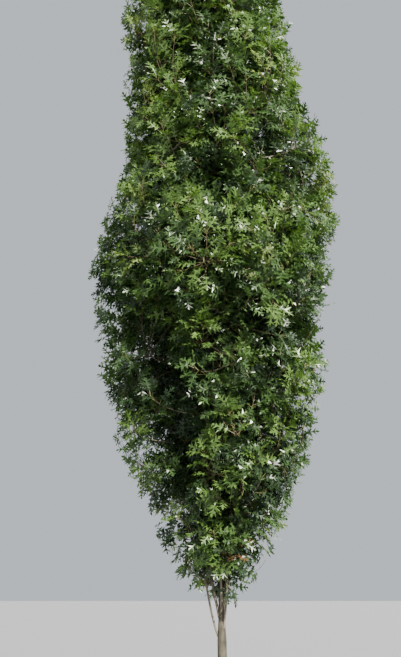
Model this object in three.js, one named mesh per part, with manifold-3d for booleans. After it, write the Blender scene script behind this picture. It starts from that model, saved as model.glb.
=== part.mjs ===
// A young columnar pin oak, whole, in millimetres with +Z up.
// The origin is the middle of the flat cut under the trunk. +X is the viewer's right, -Y the viewer's side.
// A leader runs up through the crown. Upright boughs hug it and each carries one mass of foliage,
// which keeps to its own cell: a stem, a leafy core, and twigs that end in rosettes of leaf sprays.
import * as THREE from "three";
import { mergeVertices } from "three/addons/utils/BufferGeometryUtils.js";
import Module from "manifold-3d";

const wasm = await Module();
wasm.setup();

// Crown outline by height: the reach of the furthest leaf tips from the leader, to -X and to +X.
const OUTLINE = [
  [1220, 170, 140],
  [1450, 310, 270],
  [1750, 440, 450],
  [2300, 710, 670],
  [3000, 880, 800],
  [3500, 920, 860],
  [4000, 800, 920],
  [4400, 660, 910],
  [4900, 660, 740],
  [5500, 680, 650],
  [6000, 580, 610],
  [6500, 400, 420],
  [6950, 90, 90],
];
const CROWN_TOP = 6950;
const WAVE_SHARE = 0.045; // how far the outline swells and shrinks round the crown
const LEADER_LEAN = 135; // the leader's drift to -X by the top of the crown
const LEADER_SWAY = 22; // its slow sway along Y
const SWAY_HEIGHT = 1150; // height over which the sway turns by a radian

// Trunk radius by height: root flare at the foot, and a quick narrowing where it forks at 1100 to 1200.
const TRUNK = [
  [0, 54],
  [60, 44],
  [160, 39],
  [400, 36],
  [800, 33],
  [1080, 31],
  [1220, 22],
  [1400, 17.5],
  [2600, 14],
  [4200, 9.5],
  [5300, 6.5],
  [6060, 4.5],
];
const TRUNK_SIDES = 12;
const FLARE_LOBES = 5; // root swellings round the foot
const FLARE_DEPTH = 0.16; // their height as a share of the radius at the ground
const FLARE_HEIGHT = 150; // height over which they fade

// Tiers of masses. middle: height of their middles. fork: where the first of their boughs leaves the
// trunk. turn: azimuth of the first, in degrees from +X towards +Y. base: a bough's radius at its fork.
// tip: a bough tip's distance from the leader, as a share of its mass's. bow: the power by which a bough
// leaves the leader, 1 for a straight rise and less for one that spreads first and then stands upright.
// hollow: the radius round the leader that the tier's cores leave to the limbs.
const TIERS = [
  { middle: 1800, count: 3, turn: 200, fork: 1075, base: 7.5, tip: 0.38, bow: 0.62, hollow: 80 },
  { middle: 2450, count: 4, turn: 170, fork: 1150, base: 9, tip: 0.5, bow: 1, hollow: 185 },
  { middle: 3220, count: 5, turn: 200, fork: 1560, base: 9, tip: 0.5, bow: 1, hollow: 295 },
  { middle: 3980, count: 5, turn: 164, fork: 2330, base: 8.5, tip: 0.5, bow: 1, hollow: 295 },
  { middle: 4720, count: 4, turn: 190, fork: 3120, base: 7.5, tip: 0.5, bow: 1, hollow: 245 },
  { middle: 5440, count: 3, turn: 160, fork: 3960, base: 6.5, tip: 0.5, bow: 1, hollow: 205 },
];
const TOP_MIDDLE = 6350;
const FORK_STEP = 52; // height between two forks of a tier
const UNEVEN = 110; // how far masses of a tier stand above and below its middle
const MIDDLE_SHARE = 0.56; // a middle's distance from the leader, as a share of the outline's reach
const TIP_BELOW = 330; // how far a bough's tip lies below its mass's middle
const TIP_INSIDE = 45; // least distance of that tip from its cell's edge
const BOUGH_TIP_RADIUS = 6.5;
const BOUGH_STEPS = 5;
const BOUGH_SIDES = 5;

const STEM_ABOVE = 330; // how far a stem's tip lies above its mass's middle
const STEM_SPREAD = 1.22; // the stem tip's distance from the leader, as a share of its mass's
const STEM_TIP_RADIUS = 6;
const STEM_STEPS = 3;
const STEM_SIDES = 4;

const GOLDEN_ANGLE = 137.5; // turn from one twig or spray to the next, in degrees
const TWIG_SPACING = 560; // distance between the ends of two twigs, over the crown
const TWIG_CLOSER_UNDER = 760; // under this reach the twigs stand closer, down to a share of their area
const TWIG_CLOSEST = 0.45;
const TWIG_SHORT_OF = 235; // how far a twig ends short of the outline, at most
const TWIG_SHORT_SHARE = 0.42; // the same as a share of the reach, where the crown is slim
const TWIG_INSIDE = 45; // least distance of a twig's end from its cell's edge
const TWIG_PULLS = [0, 0.12, 0.24, 0.36, 0.48]; // shares by which a crowded end is pulled to the face
const FACE_SHARE = 0.8; // the face's distance from the leader, as a share of the outline's reach
const TWIG_ROOTS = 10; // places on the stem that are tried for its root
const TWIG_RISE = 0.4; // how far a twig rises for its length
const TWIG_RADIUS = 3.6;
const TWIG_TIP_RADIUS = 2.8;

// Leaf sprays, each drawn as one thick leaf of eight faces.
const SPRAY_LENGTH = 365;
const SPRAY_WIDTH = 0.6; // width and thickness as shares of the length
const SPRAY_THICK = 0.024;
const SPRAY_WIDEST = 0.42; // where it is widest and thickest, from its root
const SPRAY_THICKEST = 0.3;
const SPRAY_SIZES = [1.1, 1, 0.9, 0.8, 0.7, 0.6]; // tried in turn, until one keeps to the cell
const SPRAY_APART = 50; // least space between the middles of two sprays
const TWIG_SPRAYS = [15, 60, 110, 160, 210]; // how far behind a twig's tip its side sprays are rooted
const TWIG_SPRAY_TRIES = 24; // turns round the twig that are tried for them
const TWIG_SPRAY_OPEN = 62; // their angle from the twig, in degrees
const TIP_SPRAY_BACK = 22; // how far behind the twig's tip its last spray is rooted

const CORE_OUTER = 0.66; // a core's distance from the leader, as a share of the outline's reach
const CORE_WIDE = 450; // its greatest half width and half height
const CORE_TALL = 480;
const CORE_LEVELS = [-80, -28, 28, 80]; // its rings of points, in degrees above the level
const CORE_SIDES = 6;
const CELL_FLAT = 0.62; // heights are weighed by this where cells are shared out: cells stand tall
const CELL_GAP = 5; // half the space between the sprays of two cells
const LIMB_GAP = 12; // space kept round trunk and boughs
const CLEAR = 0.3; // gap between pieces that seat on each other
const SLIVER = 0.05; // edges shorter than this are drawn together

const UP = new THREE.Vector3(0, 0, 1);
const radians = THREE.MathUtils.degToRad;

// A repeatable number from 0 to 1 for whole numbers a, b and c.
function chance(a, b, c = 0) {
  const wave = Math.sin(a * 12.9898 + b * 78.233 + c * 37.719) * 43758.5453;
  return wave - Math.floor(wave);
}

// Reads a column of rows sorted by their first number, easing from row to row.
function read(rows, at, column) {
  const next = rows.findIndex((row) => row[0] > at);
  if (next === 0) return rows[0][column];
  if (next < 0) return rows[rows.length - 1][column];
  const [low, high] = [rows[next - 1], rows[next]];
  const share = (at - low[0]) / (high[0] - low[0]);
  const eased = (1 - Math.cos(Math.PI * share)) / 2;
  return low[column] + ((high[column] - low[column]) * (share + eased)) / 2;
}

function leaderAt(z) {
  const x = -LEADER_LEAN * (Math.max(z, 0) / CROWN_TOP) ** 1.4;
  return new THREE.Vector3(x, LEADER_SWAY * Math.sin(z / SWAY_HEIGHT), z);
}

// The reach of the crown's leaf tips from the leader, at a height and an azimuth.
function reach(z, azimuth) {
  const left = read(OUTLINE, z, 1);
  const right = read(OUTLINE, z, 2);
  const even = left + ((right - left) * (1 + Math.cos(azimuth))) / 2;
  return even * (1 - WAVE_SHARE * Math.sin(azimuth) ** 2 * (1 + Math.sin(3 * azimuth + z / 420)));
}

function polar(z, azimuth, distance) {
  return leaderAt(z).add(new THREE.Vector3(Math.cos(azimuth) * distance, Math.sin(azimuth) * distance, 0));
}

// Distance from the leader as a share of the crown's reach there: 1 on the outline.
function share(point) {
  if (point.z < OUTLINE[0][0] || point.z > CROWN_TOP) return Infinity;
  const axis = leaderAt(point.z);
  const azimuth = Math.atan2(point.y - axis.y, point.x - axis.x);
  return Math.hypot(point.x - axis.x, point.y - axis.y) / reach(point.z, azimuth);
}

// A closed solid from rings of points with equal counts.
function solidOfRings(rings) {
  const count = rings[0].length;
  const index = [];
  for (let i = 0; i + 1 < rings.length; i++) {
    for (let k = 0; k < count; k++) {
      const next = (k + 1) % count;
      const [a, b] = [i * count + k, i * count + next];
      index.push(a, b, b + count, a, b + count, a + count);
    }
  }
  const last = (rings.length - 1) * count;
  for (let k = 1; k + 1 < count; k++) index.push(0, k + 1, k, last, last + k, last + k + 1);
  return toSolid(facesOf(rings.flat(), index));
}

function facesOf(points, index) {
  const geometry = new THREE.BufferGeometry();
  const positions = points.flatMap((point) => point.toArray());
  geometry.setAttribute("position", new THREE.Float32BufferAttribute(positions, 3));
  geometry.setIndex(index);
  return geometry;
}

function toSolid(geometry) {
  const merged = mergeVertices(geometry, 1e-3);
  const vertProperties = merged.getAttribute("position").array;
  const triVerts = new Uint32Array(merged.index.array);
  return new wasm.Manifold(new wasm.Mesh({ numProp: 3, vertProperties, triVerts }));
}

// Two unit vectors square to a direction and to each other.
function across(direction) {
  const helper = Math.abs(direction.x) < 0.8 ? new THREE.Vector3(1, 0, 0) : new THREE.Vector3(0, 1, 0);
  const u = helper.sub(direction.clone().multiplyScalar(helper.dot(direction))).normalize();
  return [u, new THREE.Vector3().crossVectors(direction, u)];
}

// A tapering limb along points. first is the direction that its start face is square to.
function limbSolid(points, radii, sides, first) {
  const rings = points.map((point, i) => {
    const before = points[Math.max(i - 1, 0)];
    const after = points[Math.min(i + 1, points.length - 1)];
    const direction = i === 0 && first ? first : after.clone().sub(before).normalize();
    const [u, v] = across(direction);
    return Array.from({ length: sides }, (_, k) => {
      const angle = (k / sides) * 2 * Math.PI;
      const ray = u.clone().multiplyScalar(Math.cos(angle)).addScaledVector(v, Math.sin(angle));
      return point.clone().addScaledVector(ray, radii[i]);
    });
  });
  return solidOfRings(rings);
}

// The trunk, thicker by extra all over, as level rings round the leader's line.
function trunkSolid(extra) {
  const rings = TRUNK.map(([z, radius]) => Array.from({ length: TRUNK_SIDES }, (_, k) => {
    const angle = (k / TRUNK_SIDES) * 2 * Math.PI;
    const lobes = FLARE_DEPTH * Math.exp(-z / FLARE_HEIGHT) * Math.cos(FLARE_LOBES * angle);
    return polar(z, angle, radius * (1 + lobes) + extra);
  }));
  return solidOfRings(rings);
}

// The places of all masses, from the lowest tier to the top one.
function placeMasses() {
  const masses = [];
  TIERS.forEach((tier, t) => {
    for (let n = 0; n < tier.count; n++) {
      const turn = tier.turn + (360 / tier.count) * (n + 0.3 * (chance(t, n) - 0.5));
      const azimuth = radians(turn);
      const z = tier.middle + UNEVEN * (n % 2 ? 1 : -1) * (0.5 + 0.5 * chance(t, n, 1));
      const distance = MIDDLE_SHARE * reach(z, azimuth);
      const fork = tier.fork + FORK_STEP * n;
      const middle = polar(z, azimuth, distance);
      const face = polar(z, azimuth, FACE_SHARE * reach(z, azimuth));
      const [name, seed] = [`${t + 1}_${n + 1}`, t * 10 + n + 1];
      masses.push({ name, seed, tier, azimuth, distance, fork, middle, face });
    }
  });
  const middle = leaderAt(TOP_MIDDLE);
  masses.push({ name: "top", azimuth: 0, distance: 0, middle, face: middle, seed: 99 });
  return masses;
}

// A bough's points, from the leader's line out to its tip.
function boughPath(mass, masses) {
  const out = mass.tier.tip * mass.distance;
  const placeTip = (z) => polar(z, mass.azimuth, out);
  let tipHeight = mass.middle.z - TIP_BELOW;
  while (cellSpace(placeTip(tipHeight), mass, masses) < TIP_INSIDE) tipHeight += 10;
  return Array.from({ length: BOUGH_STEPS + 1 }, (_, i) => {
    const s = i / BOUGH_STEPS;
    const z = mass.fork + (tipHeight - mass.fork) * s;
    const azimuth = mass.azimuth + 0.16 * (chance(mass.seed, 5) - 0.5) * Math.sin(Math.PI * s);
    return polar(z, azimuth, out * s ** mass.tier.bow);
  });
}

function boughRadii(mass) {
  return Array.from({ length: BOUGH_STEPS + 1 }, (_, i) => {
    return mass.tier.base + (BOUGH_TIP_RADIUS - mass.tier.base) * (i / BOUGH_STEPS);
  });
}

// A stem runs on from its bough's tip, or from the trunk's, and bends towards the top of its cell.
function stemPath(mass, tip, direction) {
  const start = tip.clone().addScaledVector(direction, CLEAR);
  const end = polar(mass.middle.z + STEM_ABOVE, mass.azimuth, STEM_SPREAD * mass.distance);
  const bend = start.clone().addScaledVector(direction, start.distanceTo(end) * 0.45);
  return new THREE.QuadraticBezierCurve3(start, bend, end);
}

// Free space from a point to the nearest trunk or bough surface.
function limbSpace(point, limbs) {
  let least = Infinity;
  for (const { points, radii } of limbs) {
    for (let i = 0; i + 1 < points.length; i++) {
      const way = points[i + 1].clone().sub(points[i]);
      const t = THREE.MathUtils.clamp(point.clone().sub(points[i]).dot(way) / way.lengthSq(), 0, 1);
      const distance = points[i].clone().addScaledVector(way, t).distanceTo(point);
      least = Math.min(least, distance - radii[i] - (radii[i + 1] - radii[i]) * t);
    }
  }
  return least;
}

// How far a point lies inside its mass's cell: the least distance to a plane shared with a neighbour.
function cellSpace(point, mass, masses) {
  let least = Infinity;
  for (const other of masses) {
    if (other === mass) continue;
    const normal = other.middle.clone().sub(mass.middle);
    const halfway = mass.middle.clone().addScaledVector(normal, 0.5);
    normal.z *= CELL_FLAT ** 2;
    normal.normalize();
    least = Math.min(least, halfway.sub(point).dot(normal));
  }
  return least;
}

// A direction that opens from an axis by an angle, turned round it.
function opened(axis, angle, turn) {
  const [u, v] = across(axis);
  const side = u.multiplyScalar(Math.cos(turn)).addScaledVector(v, Math.sin(turn));
  return axis.clone().multiplyScalar(Math.cos(angle)).addScaledVector(side, Math.sin(angle));
}

// Where the crown's twigs end: turn by turn from its foot to its top, evenly spread short of the outline.
function twigEnds() {
  const ends = [];
  let z = OUTLINE[0][0] + TWIG_SPACING / 4;
  for (let k = 0; z < CROWN_TOP; k++) {
    const azimuth = radians(GOLDEN_ANGLE * k);
    const furthest = reach(z, azimuth);
    const short = Math.min(TWIG_SHORT_OF, TWIG_SHORT_SHARE * furthest) * (0.8 + 0.4 * chance(k, 3));
    ends.push({ place: polar(z, azimuth, furthest - short), seed: k });
    const closer = THREE.MathUtils.clamp(furthest / TWIG_CLOSER_UNDER, TWIG_CLOSEST, 1);
    z += (TWIG_SPACING ** 2 * closer) / (2 * Math.PI * furthest);
  }
  return ends;
}

// A mass's straight twigs, from its stem to the ends that lie nearest to it.
function twigsOf(mass, stem, space) {
  const roots = Array.from({ length: TWIG_ROOTS }, (_, k) => {
    return stem.getPoint(0.04 + (0.92 * k) / (TWIG_ROOTS - 1));
  });
  const twigs = [];
  for (const { place, seed } of twigEnds()) {
    if (space.inCell(place) < 0) continue;
    const tips = TWIG_PULLS.map((pull) => place.clone().lerp(mass.face, pull));
    const tip = tips.find((end) => space.fits(end) && space.inCell(end) >= TWIG_INSIDE);
    if (!tip) continue;
    const offRise = (root) => Math.abs((tip.z - root.z) / tip.distanceTo(root) - TWIG_RISE);
    const ranked = roots.toSorted((a, b) => offRise(a) - offRise(b));
    const clear = (root) => [2, 3, 4, 5, 6, 7].every((k) => space.fits(root.clone().lerp(tip, k / 8)));
    const root = ranked.find(clear);
    if (!root) continue;
    const way = tip.clone().sub(root);
    twigs.push({ root, tip, direction: way.clone().normalize(), length: way.length(), seed });
  }
  return twigs;
}

// The six corners of a spray: its root, tip and sides, and the ridges above and below.
function sprayCorners(root, direction, facing, length) {
  const normal = facing.clone().addScaledVector(direction, -facing.dot(direction)).normalize();
  const side = new THREE.Vector3().crossVectors(direction, normal);
  const widest = root.clone().addScaledVector(direction, length * SPRAY_WIDEST);
  const thickest = root.clone().addScaledVector(direction, length * SPRAY_THICKEST);
  const half = (length * SPRAY_WIDTH) / 2;
  return {
    root,
    tip: root.clone().addScaledVector(direction, length),
    left: widest.clone().addScaledVector(side, half),
    right: widest.clone().addScaledVector(side, -half),
    above: thickest.clone().addScaledVector(normal, (length * SPRAY_THICK) / 2),
    below: thickest.clone().addScaledVector(normal, (-length * SPRAY_THICK) / 2),
  };
}

function spraySolid({ root, tip, left, right, above, below }) {
  const outline = [root, right, tip, left];
  const index = outline.flatMap((_, a) => {
    const b = (a + 1) % outline.length;
    return [b, a, 4, a, b, 5];
  });
  return toSolid(facesOf([...outline, above, below], index));
}

// Points spread over a spray, close enough to tell whether it leaves its space.
function spraySamples({ root, tip, left, right }) {
  const samples = [];
  for (const corner of [tip, left, right]) {
    for (let k = 1; k <= 4; k++) samples.push(root.clone().lerp(corner, k / 4));
  }
  for (const corner of [left, right]) {
    for (let k = 1; k <= 3; k++) samples.push(tip.clone().lerp(corner, k / 4));
    samples.push(root.clone().lerp(tip, 0.5).lerp(corner, 0.5));
  }
  return samples;
}

function meetsTriangle(from, to, [a, b, c]) {
  const way = to.clone().sub(from);
  const length = way.length();
  const ray = new THREE.Ray(from, way.divideScalar(length));
  const hit = ray.intersectTriangle(a, b, c, false, new THREE.Vector3());
  return hit !== null && hit.distanceTo(from) <= length;
}

// Whether a line passes through a spray, drawn as its two halves.
function crosses(from, to, { root, tip, left, right }) {
  return meetsTriangle(from, to, [root, left, tip]) || meetsTriangle(from, to, [root, tip, right]);
}

// The lines of a spray's outline and its middle.
function edgesOf({ root, tip, left, right }) {
  return [[root, left], [left, tip], [tip, right], [right, root], [root, tip]];
}

// Whether a spray passes through none of the sprays placed before it, and through no limb or other twig.
function apart(spray, placed, rods) {
  const meets = (a, b) => edgesOf(a).some(([from, to]) => crosses(from, to, b));
  const crowded = placed.some((other) => {
    const near = other.above.distanceTo(spray.above);
    return near < SPRAY_APART || (near < SPRAY_LENGTH && (meets(spray, other) || meets(other, spray)));
  });
  return !crowded && !rods.some(([from, to]) => crosses(from, to, spray));
}

// Adds a spray to those placed, at the largest size that its cell allows, or leaves it out.
function addSpray(root, direction, facing, scale, space, placed, rods) {
  for (const size of SPRAY_SIZES) {
    const spray = sprayCorners(root, direction, facing, SPRAY_LENGTH * size * scale);
    if (spraySamples(spray).every(space.fits) && apart(spray, placed, rods)) {
      placed.push(spray);
      return true;
    }
  }
  return false;
}

// A spray at a twig's tip, and more that turn round the twig behind it.
function addTwigSprays(twigs, own, space, placed) {
  const { tip, direction, length, seed } = twigs[own];
  const others = twigs.filter((twig) => twig !== twigs[own]).map((twig) => [twig.root, twig.tip]);
  const rods = [...space.rods, ...others];
  const last = tip.clone().addScaledVector(direction, -TIP_SPRAY_BACK);
  addSpray(last, direction, UP, 1, space, placed, rods);
  let count = 0;
  for (let j = 0; j < TWIG_SPRAY_TRIES && TWIG_SPRAYS[count] < 0.8 * length; j++) {
    const round = GOLDEN_ANGLE * j + 360 * chance(seed, 10);
    const opening = TWIG_SPRAY_OPEN + 24 * (chance(seed, 20 + j) - 0.5);
    const side = opened(direction, radians(opening), radians(round));
    const at = tip.clone().addScaledVector(direction, -TWIG_SPRAYS[count]);
    if (addSpray(at, side, direction, 0.9 + 0.2 * chance(seed, 40 + j), space, placed, rods)) count++;
  }
}

// The leafy heart of a mass: its middle, and the way from there to its surface along a ray.
function coreOf(mass, stem, masses) {
  const middle = stem.getPoint(0.52);
  const hollow = mass.tier ? mass.tier.hollow : 0;
  const roomy = (point) => {
    const fromLeader = leaderAt(point.z).distanceTo(point);
    return share(point) < CORE_OUTER && fromLeader >= hollow && cellSpace(point, mass, masses) > 3 * CELL_GAP;
  };
  const toSurface = (ray) => {
    const way = new THREE.Vector3(ray.x * CORE_WIDE, ray.y * CORE_WIDE, ray.z * CORE_TALL);
    let size = 1;
    while (size > 0.1 && !roomy(middle.clone().addScaledVector(way, size))) size *= 0.92;
    return way.multiplyScalar(size);
  };
  return { middle, toSurface };
}

// The core as a ball of rings, whose points are drawn in to its surface.
function coreSolid(core, cleared) {
  const point = (level, turn) => {
    const flat = Math.cos(level);
    const ray = new THREE.Vector3(flat * Math.cos(turn), flat * Math.sin(turn), Math.sin(level));
    return core.toSurface(ray).add(core.middle);
  };
  const rings = CORE_LEVELS.map((degrees, i) => Array.from({ length: CORE_SIDES }, (_, k) => {
    return point(radians(degrees), (2 * Math.PI * (k + i / 2)) / CORE_SIDES);
  }));
  return solidOfRings(rings).subtract(cleared);
}

// The largest piece of a solid without its finest slivers, so that no scrap or sealed hollow stays.
function whole(solid) {
  const pieces = solid.simplify(SLIVER).decompose();
  return pieces.reduce((best, piece) => (piece.volume() > best.volume() ? piece : best));
}

function meshOf(name, solid, material) {
  const { numProp, vertProperties, triVerts } = solid.getMesh();
  const positions = [];
  for (let i = 0; i < vertProperties.length; i += numProp) {
    positions.push(...vertProperties.subarray(i, i + 3));
  }
  const geometry = new THREE.BufferGeometry();
  geometry.setAttribute("position", new THREE.Float32BufferAttribute(positions, 3));
  geometry.setIndex(new THREE.BufferAttribute(triVerts, 1));
  geometry.computeVertexNormals();
  const mesh = new THREE.Mesh(geometry, material);
  mesh.name = name;
  return mesh;
}

function foliageSolid(mass, masses, limbs, cleared, tip, direction, tipRadius) {
  const stem = stemPath(mass, tip, direction);
  const inCell = (point) => cellSpace(point, mass, masses);
  const fits = (point) => {
    return share(point) <= 1 && inCell(point) >= CELL_GAP && limbSpace(point, limbs) >= LIMB_GAP;
  };
  const rods = limbs.flatMap(({ points }) => points.slice(1).map((point, i) => [points[i], point]));
  const space = { fits, inCell, rods };
  const stemPoints = stem.getPoints(STEM_STEPS);
  const stemRadii = stemPoints.map((_, i) => tipRadius + (STEM_TIP_RADIUS - tipRadius) * (i / STEM_STEPS));
  const core = coreOf(mass, stem, masses);
  const twigs = twigsOf(mass, stem, space);
  const sprays = [];
  addSpray(stem.getPoint(0.95), stem.getTangent(1), new THREE.Vector3(0, -1, 0.4), 1, space, sprays, rods);
  twigs.forEach((twig, own) => addTwigSprays(twigs, own, space, sprays));
  const pieces = [limbSolid(stemPoints, stemRadii, STEM_SIDES, direction), coreSolid(core, cleared)];
  for (const twig of twigs) {
    pieces.push(limbSolid([twig.root, twig.tip], [TWIG_RADIUS, TWIG_TIP_RADIUS], 3, twig.direction));
  }
  pieces.push(...sprays.map(spraySolid));
  return whole(wasm.Manifold.union(pieces));
}

function build() {
  const bark = new THREE.MeshStandardMaterial({ color: 0x8b8375, roughness: 0.85, name: "bark" });
  const leaf = new THREE.MeshStandardMaterial({ color: 0x3f5a2a, roughness: 0.45, name: "foliage" });
  const tree = new THREE.Group();
  const masses = placeMasses();
  const trunk = { points: TRUNK.map(([z]) => leaderAt(z)), radii: TRUNK.map(([, radius]) => radius) };
  const limbs = [trunk];
  tree.add(meshOf("trunk", trunkSolid(0), bark));

  const socket = trunkSolid(CLEAR);
  for (const mass of masses.filter(({ tier }) => tier)) {
    mass.bough = { points: boughPath(mass, masses), radii: boughRadii(mass) };
    limbs.push(mass.bough);
    const solid = limbSolid(mass.bough.points, mass.bough.radii, BOUGH_SIDES).subtract(socket);
    tree.add(meshOf(`bough_${mass.name}`, whole(solid), bark));
  }
  const grown = limbs.slice(1).map(({ points, radii }) => {
    return limbSolid(points, radii.map((radius) => radius + LIMB_GAP), BOUGH_SIDES);
  });
  const cleared = wasm.Manifold.union([trunkSolid(LIMB_GAP), ...grown]);
  for (const mass of masses) {
    const { points, radii } = mass.bough || trunk;
    const tip = points[points.length - 1];
    const direction = mass.bough ? tip.clone().sub(points[points.length - 2]).normalize() : UP.clone();
    const solid = foliageSolid(mass, masses, limbs, cleared, tip, direction, radii[radii.length - 1]);
    tree.add(meshOf(`foliage_${mass.name}`, solid, leaf));
  }
  return tree;
}

export default build();
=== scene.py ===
import math

import bpy
import numpy as np
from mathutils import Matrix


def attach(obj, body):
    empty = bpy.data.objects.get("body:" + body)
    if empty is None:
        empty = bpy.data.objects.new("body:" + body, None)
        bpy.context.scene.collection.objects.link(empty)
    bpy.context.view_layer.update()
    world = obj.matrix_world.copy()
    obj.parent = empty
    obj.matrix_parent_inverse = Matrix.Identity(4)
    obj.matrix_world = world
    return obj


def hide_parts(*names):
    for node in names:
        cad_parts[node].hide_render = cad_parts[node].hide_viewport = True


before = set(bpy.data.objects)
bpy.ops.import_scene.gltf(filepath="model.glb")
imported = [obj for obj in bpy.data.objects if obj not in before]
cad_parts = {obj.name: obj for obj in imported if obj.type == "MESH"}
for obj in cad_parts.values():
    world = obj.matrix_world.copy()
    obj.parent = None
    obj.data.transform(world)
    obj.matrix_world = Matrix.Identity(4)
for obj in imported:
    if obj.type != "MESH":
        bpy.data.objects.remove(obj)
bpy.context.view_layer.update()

# A young columnar pin oak in metres, +Z up, with -Y towards the viewer.
# Trunk, boughs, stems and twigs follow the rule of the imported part, carried to finer shoots and real leaves.

# Crown outline by height: the reach of the furthest leaf tips from the leader, to -X and to +X.
OUTLINE = np.array([
    (1.22, 0.17, 0.14),
    (1.45, 0.31, 0.27),
    (1.75, 0.44, 0.45),
    (2.30, 0.71, 0.67),
    (3.00, 0.88, 0.80),
    (3.50, 0.92, 0.86),
    (4.00, 0.80, 0.92),
    (4.40, 0.66, 0.91),
    (4.90, 0.66, 0.74),
    (5.50, 0.68, 0.65),
    (6.00, 0.58, 0.61),
    (6.50, 0.40, 0.42),
    (6.95, 0.09, 0.09),
])
CROWN_TOP = 6.95
WAVE_SHARE = 0.045  # how much less the reach is at the front and the back, in a wave round the crown
WAVE_HEIGHT = 0.42  # height over which that wave turns by a radian
LEADER_LEAN = 0.135  # the leader's drift to -X by the top of the crown
LEAN_POWER = 1.4
LEADER_SWAY = 0.022  # its slow sway along Y
SWAY_HEIGHT = 1.15  # height over which the sway turns by a radian

# Trunk radius by height.
TRUNK = np.array([
    (0.0, 0.054),
    (0.06, 0.044),
    (0.16, 0.039),
    (0.4, 0.036),
    (0.8, 0.033),
    (1.08, 0.031),
    (1.22, 0.022),
    (1.4, 0.0175),
    (2.6, 0.014),
    (4.2, 0.0095),
    (5.3, 0.0065),
    (6.06, 0.0045),
])
LAST_STRETCH = 5.9  # where the leader's last stretch starts, whose direction the top stem takes
FLARE_LOBES = 5  # root swellings round the foot
FLARE_DEPTH = 0.16  # their height as a share of the radius at the ground
FLARE_HEIGHT = 0.15  # height over which they fade

# The trunk's mesh: points round it, rings up to a height and rings above it.
TRUNK_SIDES = 56
CLOSE_RINGS = 260
CLOSE_BELOW = 1.5
UPPER_RINGS = 171
# Bark noise: cells round the trunk, cells for each metre up, and a seed.
BARK_DRIFT = (6, 5, 3)
BARK_RIDGES = (18, 14, 1)
BARK_FINE = (36, 60, 2)
DRIFT_CELLS = 1.6  # how many cells the ridges wander sideways
RIDGE_POWER = 0.7  # under 1 the fissures are narrow and the ridges wide
RIDGE_PART = 0.6  # how much the ridges and the fine grain count in the relief
FINE_PART = 0.4
RELIEF_BY_HEIGHT = [(0, 0.0026), (0.3, 0.0019), (1.2, 0.0014), (2.5, 0.0006), (6.1, 0.0002)]
SLENDER_ABOVE = 1.3  # above this height nothing stands out of the trunk's radius
# Old limb scars: how many, height of the first, from one to the next and how uneven that is.
SCARS = 9
SCAR_FIRST = 0.22
SCAR_STEP = 0.105
SCAR_UNEVEN = 0.06
SCAR_TALL = 0.011  # half height and half width of a scar
SCAR_WIDE = 0.013
SCAR_RIM = 0.0034
SCAR_PIT = 0.0038
PIT_CLOSER = 5  # how much faster the pit fades than the rim

# Tiers of masses: height of their middles, how many, azimuth of the first in degrees, height of the first
# fork, a bough's radius there, its tip's distance from the leader as a share of its mass's, and the power by
# which it leaves the leader: 1 is a straight rise, less spreads first and then stands upright.
TIERS = [
    (1.80, 3, 200, 1.075, 0.0075, 0.38, 0.62),
    (2.45, 4, 170, 1.150, 0.009, 0.5, 1),
    (3.22, 5, 200, 1.560, 0.009, 0.5, 1),
    (3.98, 5, 164, 2.330, 0.0085, 0.5, 1),
    (4.72, 4, 190, 3.120, 0.0075, 0.5, 1),
    (5.44, 3, 160, 3.960, 0.0065, 0.5, 1),
]
TOP_MIDDLE = 6.35  # height of the middle of the mass on the leader's tip
FORK_STEP = 0.052  # height between two forks of a tier
UNEVEN = 0.11  # most that masses of a tier stand above and below its middle
UNEVEN_TURN = 0.3  # how unevenly they stand round the leader, as a share of their angle apart
MIDDLE_SHARE = 0.56  # a middle's distance from the leader, as a share of the outline's reach
CELL_FLAT = 0.62  # heights are weighed by this where cells are shared out: cells stand tall

TIP_BELOW = 0.33  # how far a bough's tip lies below its mass's middle
TIP_INSIDE = 0.045  # least distance of that tip from its cell's edge
TIP_STEP = 0.01  # by how much the tip is raised until it lies so
BOUGH_DRIFT = 0.16  # how far a bough wanders round the leader, in radians
BOUGH_WOBBLE = 0.09  # how uneven its thickness is
BOUGH_TIP_RADIUS = 0.0065
BOUGH_STEPS = 28
BOUGH_SIDES = 12
STEM_ABOVE = 0.33  # how far a stem's tip lies above its mass's middle
STEM_SPREAD = 1.22  # the stem tip's distance from the leader, as a share of its mass's
STEM_BEND = 0.45  # where it bends, as a share of its length
STEM_TIP_RADIUS = 0.0021
STEM_STEPS = 16
STEM_SIDES = 8

GOLDEN_ANGLE = 137.5  # turn from one twig or leaf to the next, in degrees
TWIG_SPACING = 0.30  # distance between the ends of two twigs, over the crown
TWIG_SHORT = 0.21  # how far a twig ends short of the outline
TWIG_RISE = 0.72  # how far it rises for its length
TWIG_NEAR = 0.2  # a root that would make it shorter than this costs more
TWIG_BEND = 0.16  # how far it bows outwards, as a share of its length
TWIG_RADIUS = 0.0042
TWIG_TIP_RADIUS = 0.0022
TWIG_STEPS = 8
TWIG_SIDES = 6
TWIG_BARE = 2  # steps at a twig's root that carry no shoot

# Layers of shoots: spacing of their ends and how far they end short of the outline.
SHOOT_LAYERS = [
    (0.152, 0.115),
    (0.157, 0.26),
    (0.166, 0.38),
    (0.235, 0.52),
]
FIRST_TURN = 40  # where the first layer's spiral starts, in degrees, and the turn from layer to layer
LAYER_TURN = 61
SHOOT_RISE = 0.85
SHOOT_NEAR = 0.1
SHOOT_BEND = 0.24
SHOOT_RADIUS = 0.0024
SHOOT_TIP_RADIUS = 0.0013
SHOOT_STEPS = 5
SHOOT_SIDES = 3
SHOOT_UNEVEN = 0.05  # the range of a shoot's end about its even place, along each axis
SAG_SHARE = 0.6  # how far a twig or shoot sags, as a share of how far it bows outwards
# What a root costs besides the twig's length: for each metre too near, and for a rise that is off, which
# is weighed by the length and a little more.
NEAR_COST = 0.9
RISE_COST = 0.55
RISE_LENGTH = 0.12

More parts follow.
